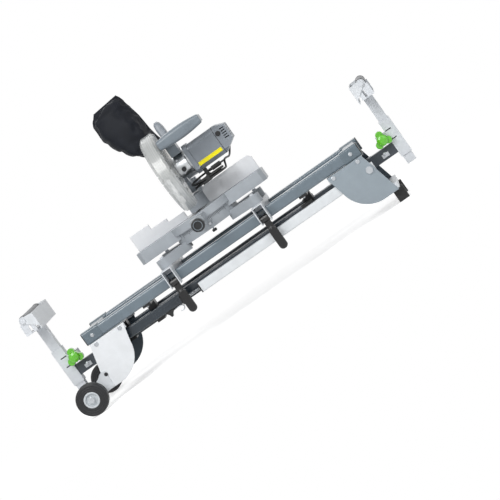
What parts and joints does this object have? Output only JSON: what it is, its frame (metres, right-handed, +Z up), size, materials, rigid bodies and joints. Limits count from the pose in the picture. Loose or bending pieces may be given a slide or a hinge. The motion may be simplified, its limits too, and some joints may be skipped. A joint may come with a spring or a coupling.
{
  "type": "mitre saw on folding stand",
  "caption": "Compound mitre saw clamped on a folded wheeled stand with twin rails, folding legs and sliding roller supports.",
  "frame": {"origin": "on the floor, under the middle of the stand", "axes": "+X along the rails towards the carrying bar, -Y towards the operator, +Z up"},
  "size_m": [1.394, 0.5212, 0.8233],
  "materials": {
    "bag": "woven dark dust bag",
    "bar_dark": "dark powder coat on steel tube",
    "black_plastic": "moulded black nylon, fine grain",
    "blade_steel": "ground tool steel",
    "cast_alu": "machined and shot-blasted aluminium casting",
    "clear_guard": "clear moulded polycarbonate",
    "cord": "black rubber cord sheath",
    "frame_casting": "cast aluminium, tumbled",
    "handle_plastic": "grey moulded handle",
    "hub_plastic": "pale grey moulded hub",
    "leg_paint": "pale powder coat on steel tube",
    "lime": "lime green moulded grip",
    "motor_plastic": "grey moulded motor case",
    "plate_paint": "pale grey powder coat on pressed steel",
    "post_steel": "light grey powder coat on steel tube",
    "rail_paint": "blue-grey powder coat on drawn steel tube",
    "roller_plastic": "grey moulded roller",
    "rubber": "moulded black rubber",
    "tyre": "solid rubber tyre",
    "zinc": "zinc plated"
  },
  "bodies": {
    "stand": {"rails": "rail_paint", "end_frames": "frame_casting", "end_plates": "plate_paint", "end_brackets": "plate_paint", "frame_fasteners": "zinc", "plastic_guides": "black_plastic", "rest_feet": "rubber"},
    "wheel_front": {"tyre_front": "tyre", "hub_front": "hub_plastic"},
    "wheel_rear": {"tyre_rear": "tyre", "hub_rear": "hub_plastic"},
    "carriage": {"mount_beams": "post_steel", "saw_base": "cast_alu", "fences": "cast_alu"},
    "lever_l": {"lever_left": "black_plastic"},
    "lever_r": {"lever_right": "black_plastic"},
    "table": {"turntable": "cast_alu", "kerf_plate": "black_plastic"},
    "mitre_lock": {"mitre_knob": "black_plastic"},
    "bevel": {"bevel_arm": "cast_alu"},
    "bevel_lock": {"bevel_lever": "black_plastic"},
    "head": {"head_arm": "cast_alu", "upper_guard": "cast_alu", "gearbox": "cast_alu", "motor_housing": "motor_plastic", "motor_end_cap": "motor_plastic", "handle": "handle_plastic", "dust_bag": "bag", "cord_lead": "cord", "cord_hank": "cord", "cord_tie": "rubber", "plug": "cord"},
    "switch": {"trigger": "black_plastic"},
    "spindle_lock": {"lock_button": "black_plastic"},
    "blade_guard": {"lower_guard": "clear_guard"},
    "saw_blade": {"blade": "blade_steel", "spindle": "zinc"},
    "rotor": {"armature": "zinc"},
    "leg_left_front_body": {"leg_left_front": "leg_paint", "foot_left_front": "rubber"},
    "leg_left_rear_body": {"leg_left_rear": "leg_paint", "foot_left_rear": "rubber"},
    "leg_right_front_body": {"leg_right_front": "leg_paint", "foot_right_front": "rubber"},
    "leg_right_rear_body": {"leg_right_rear": "leg_paint", "foot_right_rear": "rubber"},
    "extension_left": {"ext_bar_left": "bar_dark", "post_sleeve_left": "post_steel"},
    "support_left": {"post_left": "post_steel", "roller_head_left": "post_steel"},
    "support_roller_left": {"roller_left": "roller_plastic"},
    "work_stop_left": {"flip_stop_left": "plate_paint"},
    "clamp_knob_left": {"knob_left": "lime"},
    "extension_right": {"ext_bar_right": "bar_dark", "post_sleeve_right": "post_steel"},
    "support_right": {"post_right": "post_steel", "roller_head_right": "post_steel"},
    "support_roller_right": {"roller_right": "roller_plastic"},
    "work_stop_right": {"flip_stop_right": "plate_paint"},
    "clamp_knob_right": {"knob_right": "lime"}
  },
  "joints": [
    {"name": "wheel_front_spin", "type": "hinge", "parent": "stand", "child": "wheel_front", "pos_m": [-0.631, -0.195, 0.055], "axis": [0, 1, 0], "continuous": true},
    {"name": "wheel_rear_spin", "type": "hinge", "parent": "stand", "child": "wheel_rear", "pos_m": [-0.631, 0.195, 0.055], "axis": [0, 1, 0], "continuous": true},
    {"name": "leg_left_front_fold", "type": "hinge", "parent": "stand", "child": "leg_left_front_body", "pos_m": [-0.52, -0.0917, 0.158], "axis": [0, 1, 0], "range_deg": [0, 95]},
    {"name": "leg_left_rear_fold", "type": "hinge", "parent": "stand", "child": "leg_left_rear_body", "pos_m": [-0.52, 0.0917, 0.158], "axis": [0, 1, 0], "range_deg": [0, 95]},
    {"name": "leg_right_front_fold", "type": "hinge", "parent": "stand", "child": "leg_right_front_body", "pos_m": [0.541, -0.1217, 0.148], "axis": [0, -1, 0], "range_deg": [0, 95]},
    {"name": "leg_right_rear_fold", "type": "hinge", "parent": "stand", "child": "leg_right_rear_body", "pos_m": [0.541, 0.1217, 0.148], "axis": [0, -1, 0], "range_deg": [0, 95]},
    {"name": "extension_left_slide", "type": "slide", "parent": "stand", "child": "extension_left", "axis": [-1, 0, 0], "range_m": [0, 0.5]},
    {"name": "support_left_height", "type": "slide", "parent": "extension_left", "child": "support_left", "axis": [0, 0, 1], "range_m": [-0.05, 0.09]},
    {"name": "roller_left_spin", "type": "hinge", "parent": "support_left", "child": "support_roller_left", "pos_m": [-0.677, 0, 0.393], "axis": [0, 1, 0], "continuous": true},
    {"name": "stop_left_flip", "type": "hinge", "parent": "support_left", "child": "work_stop_left", "pos_m": [-0.677, 0, 0.393], "axis": [0, -1, 0], "range_deg": [0, 180]},
    {"name": "clamp_knob_left_turn", "type": "hinge", "parent": "extension_left", "child": "clamp_knob_left", "pos_m": [-0.6271, -0.024, 0.195], "axis": [0, 1, 0], "continuous": true},
    {"name": "extension_right_slide", "type": "slide", "parent": "stand", "child": "extension_right", "axis": [1, 0, 0], "range_m": [0, 0.5]},
    {"name": "support_right_height", "type": "slide", "parent": "extension_right", "child": "support_right", "axis": [0, 0, 1], "range_m": [-0.05, 0.09]},
    {"name": "roller_right_spin", "type": "hinge", "parent": "support_right", "child": "support_roller_right", "pos_m": [0.677, 0, 0.393], "axis": [0, 1, 0], "continuous": true},
    {"name": "stop_right_flip", "type": "hinge", "parent": "support_right", "child": "work_stop_right", "pos_m": [0.677, 0, 0.393], "axis": [0, 1, 0], "range_deg": [0, 180]},
    {"name": "clamp_knob_right_turn", "type": "hinge", "parent": "extension_right", "child": "clamp_knob_right", "pos_m": [0.6271, 0.024, 0.195], "axis": [0, 1, 0], "continuous": true},
    {"name": "carriage_slide", "type": "slide", "parent": "stand", "child": "carriage", "axis": [1, 0, 0], "range_m": [-0.08, 0.08]},
    {"name": "beam_lever_l", "type": "hinge", "parent": "carriage", "child": "lever_l", "pos_m": [-0.187, -0.166, 0.216], "axis": [-1, 0, 0], "range_deg": [0, 100]},
    {"name": "beam_lever_r", "type": "hinge", "parent": "carriage", "child": "lever_r", "pos_m": [0.175, -0.166, 0.216], "axis": [-1, 0, 0], "range_deg": [0, 100]},
    {"name": "mitre", "type": "hinge", "parent": "carriage", "child": "table", "pos_m": [-0.006, 0.01, 0.353], "axis": [0, 0, 1], "range_deg": [-45, 45]},
    {"name": "mitre_lock_turn", "type": "hinge", "parent": "table", "child": "mitre_lock", "pos_m": [-0.006, -0.232, 0.326], "axis": [0, 1, 0], "continuous": true},
    {"name": "bevel_tilt", "type": "hinge", "parent": "table", "child": "bevel", "pos_m": [-0.006, 0.138, 0.353], "axis": [0, -1, 0], "range_deg": [0, 45]},
    {"name": "bevel_lock_turn", "type": "hinge", "parent": "bevel", "child": "bevel_lock", "pos_m": [0.028, 0.1816, 0.373], "axis": [1, 0, 0], "range_deg": [0, 40]},
    {"name": "chop", "type": "hinge", "parent": "bevel", "child": "head", "pos_m": [-0.006, 0.18, 0.43], "axis": [1, 0, 0], "range_deg": [-21, 9]},
    {"name": "switch_press", "type": "slide", "parent": "head", "child": "switch", "axis": [0, -1, 0], "range_m": [0, 0.005], "stiffness_N_per_m": 400},
    {"name": "spindle_lock_press", "type": "slide", "parent": "head", "child": "spindle_lock", "axis": [0, 1, 0], "range_m": [0, 0.004], "stiffness_N_per_m": 400},
    {"name": "guard_turn", "type": "hinge", "parent": "head", "child": "blade_guard", "pos_m": [-0.006, -0.04, 0.507], "axis": [1, 0, 0], "range_deg": [-33, 76]},
    {"name": "blade_spin", "type": "hinge", "parent": "head", "child": "saw_blade", "pos_m": [-0.006, -0.04, 0.507], "axis": [1, 0, 0], "continuous": true},
    {"name": "rotor_spin", "type": "hinge", "parent": "head", "child": "rotor", "pos_m": [-0.006, -0.002, 0.507], "axis": [1, 0, 0], "continuous": true}
  ],
  "couplings": [
    {"joint": "guard_turn", "follows": "chop", "ratio": -3.571},
    {"joint": "rotor_spin", "follows": "blade_spin", "ratio": -3.1111}
  ]
}
